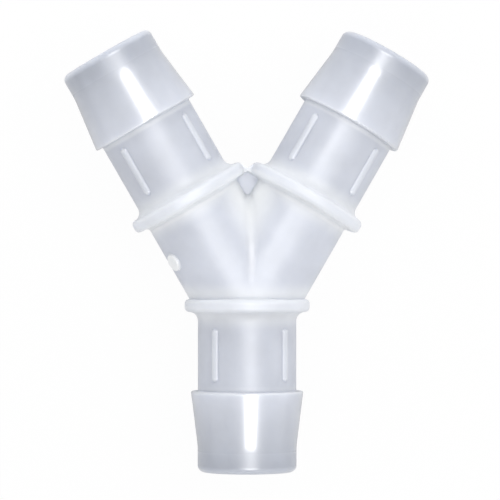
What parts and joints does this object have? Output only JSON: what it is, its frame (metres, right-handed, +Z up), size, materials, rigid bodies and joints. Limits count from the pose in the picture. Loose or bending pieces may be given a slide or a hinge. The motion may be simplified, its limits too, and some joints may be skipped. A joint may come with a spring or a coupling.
{
  "type": "tubing y connector",
  "caption": "One-piece moulded Y-shaped hose connector: three barbed ends with collars, arms 60 degrees apart, bores meeting at the junction.",
  "frame": {"origin": "middle of the object's footprint, on the surface that it lies on", "axes": "+Y towards the two arms along the line of the stem, +X towards the right arm, +Z up, square to the plane of the Y"},
  "size_m": [0.0706, 0.0852, 0.0242],
  "materials": {
    "polypropylene": "natural translucent polypropylene, polished on the barbs, matt from the moulding tool on the necks, collars and body"
  },
  "bodies": {
    "root": {"y_connector": "polypropylene"}
  },
  "joints": []
}
